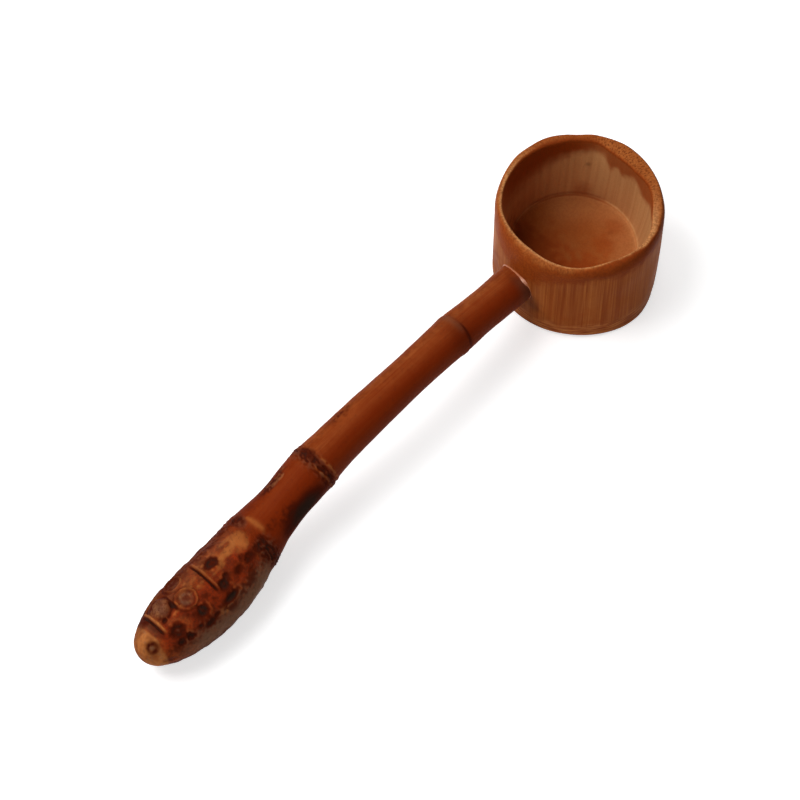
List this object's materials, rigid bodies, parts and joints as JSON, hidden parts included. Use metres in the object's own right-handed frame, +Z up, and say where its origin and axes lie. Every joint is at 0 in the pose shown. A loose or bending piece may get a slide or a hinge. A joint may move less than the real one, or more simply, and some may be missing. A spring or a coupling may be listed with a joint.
{
  "type": "bamboo ladle",
  "caption": "Ladle with a round cup cut from a bamboo joint and a gently arched handle cut from a thin culm, its trimmed root stock left on as the grip.",
  "frame": {"origin": "on the table, under the middle of the ladle's bounding box, with the cup foot and the root stock both on the table", "axes": "+X from the cup to the tip of the handle, +Z up out of the cup's mouth, +Y to the left of the handle seen from the cup"},
  "size_m": [0.2774, 0.0664, 0.0477],
  "materials": {
    "cup_bamboo": "oiled, with open grain outside and a smooth rim",
    "handle_bamboo": "clear red-brown lacquer over the polished skin",
    "plug_bamboo": "plain end grain",
    "cured_glue": "pale cured glue"
  },
  "bodies": {
    "root": {"cup": "cup_bamboo", "handle": "handle_bamboo", "tenon_plug": "plug_bamboo", "glue_film": "cured_glue", "glue_bead": "cured_glue"}
  },
  "joints": []
}
